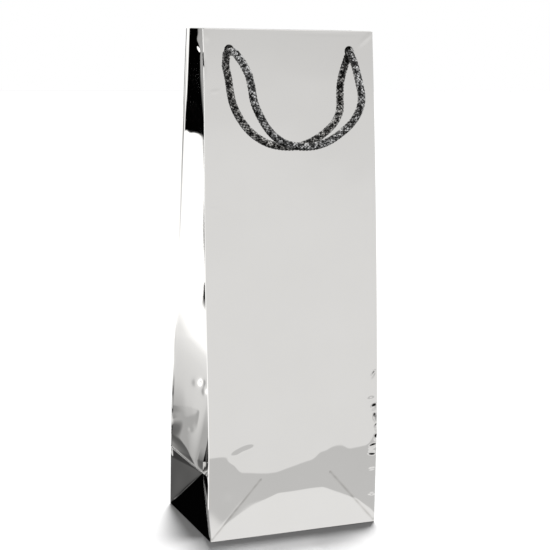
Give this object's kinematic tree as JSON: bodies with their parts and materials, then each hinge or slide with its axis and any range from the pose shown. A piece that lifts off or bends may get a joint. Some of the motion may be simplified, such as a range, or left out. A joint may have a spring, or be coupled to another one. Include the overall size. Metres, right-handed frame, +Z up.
{
  "type": "wine gift bag",
  "caption": "Tall folded paper gift bag for one wine bottle, with pleated side gussets, a pinched mouth and a hanging cord handle on each face.",
  "frame": {"origin": "centre of the bag's base, on the surface it stands on", "axes": "+Z up to the mouth, -Y towards the front face, +X to the right seen from the front"},
  "size_m": [0.13, 0.091, 0.36],
  "materials": {
    "silver_paper": "mirror-bright metallised laminate on paper, with soft waves and small creases",
    "inside_paper": "plain matt white uncoated side of the paper",
    "grey_board": "matt grey-white board",
    "handle_cord": "braided grey cord with glittering silver threads"
  },
  "bodies": {
    "bag_base": {"bottom_flap_back": "silver_paper", "bottom_flap_front": "silver_paper", "bottom_flap_left": "silver_paper", "bottom_flap_right": "silver_paper", "front_foot_panel": "silver_paper", "back_foot_panel": "silver_paper", "left_foot_triangle": "silver_paper", "left_foot_front_corner": "silver_paper", "left_foot_back_corner": "silver_paper", "right_foot_triangle": "silver_paper", "right_foot_front_corner": "silver_paper", "right_foot_back_corner": "silver_paper", "left_gusset_front": "silver_paper", "left_gusset_back": "silver_paper", "right_gusset_front": "silver_paper", "right_gusset_back": "silver_paper", "left_hem_front": "silver_paper", "left_hem_back": "silver_paper", "right_hem_front": "silver_paper", "right_hem_back": "silver_paper"},
    "front_panel": {"front_panel": "silver_paper", "front_top_board": "grey_board", "front_hem": "silver_paper", "front_cord_exit_left": "handle_cord", "front_cord_exit_right": "handle_cord", "front_knot_left": "handle_cord", "front_knot_right": "handle_cord"},
    "front_cord_bends": {"front_cord_bend_left": "handle_cord", "front_cord_bend_right": "handle_cord"},
    "front_handle": {"front_cord": "handle_cord"},
    "back_panel": {"back_panel": "silver_paper", "back_top_board": "grey_board", "back_hem": "silver_paper", "side_seam_flap": "inside_paper", "back_cord_exit_left": "handle_cord", "back_cord_exit_right": "handle_cord", "back_knot_left": "handle_cord", "back_knot_right": "handle_cord"},
    "back_cord_bends": {"back_cord_bend_left": "handle_cord", "back_cord_bend_right": "handle_cord"},
    "back_handle": {"back_cord": "handle_cord"},
    "bottom_card": {"bottom_card": "grey_board"}
  },
  "joints": [
    {"name": "front_panel_flex", "type": "hinge", "parent": "bag_base", "child": "front_panel", "pos_m": [0, -0.045, 0.045], "axis": [-1, 0, 0], "range_deg": [-1.9, 1.6], "stiffness_Nm_per_rad": 1.2, "deforming": ["left_gusset_front", "left_hem_front", "right_gusset_front", "right_hem_front"]},
    {"name": "back_panel_flex", "type": "hinge", "parent": "bag_base", "child": "back_panel", "pos_m": [0, 0.045, 0.045], "axis": [1, 0, 0], "range_deg": [-1.9, 1.6], "stiffness_Nm_per_rad": 1.2, "deforming": ["left_gusset_back", "left_hem_back", "right_gusset_back", "right_hem_back"]},
    {"name": "front_handle_swing", "type": "hinge", "parent": "front_cord_bends", "child": "front_handle", "pos_m": [-0.0425, -0.036, 0.337], "axis": [-0.9971, -0.034, 0.068], "range_deg": [0, 90]},
    {"name": "front_cord_bend", "type": "hinge", "parent": "front_panel", "child": "front_cord_bends", "pos_m": [-0.0455, -0.0245, 0.345], "axis": [-0.9993, -0.0164, 0.0328], "range_deg": [0, 90]},
    {"name": "back_handle_swing", "type": "hinge", "parent": "back_cord_bends", "child": "back_handle", "pos_m": [0.0425, 0.036, 0.337], "axis": [0.9971, 0.034, 0.068], "range_deg": [0, 90]},
    {"name": "back_cord_bend", "type": "hinge", "parent": "back_panel", "child": "back_cord_bends", "pos_m": [0.0455, 0.0245, 0.345], "axis": [0.9993, 0.0164, 0.0328], "range_deg": [0, 90]},
    {"name": "bottom_card_lift", "type": "slide", "parent": "bag_base", "child": "bottom_card", "axis": [0, 0, 1], "range_m": [0, 0.008]}
  ],
  "couplings": [
    {"joint": "front_cord_bend", "follows": "front_handle_swing", "ratio": 1},
    {"joint": "back_cord_bend", "follows": "back_handle_swing", "ratio": 1}
  ]
}
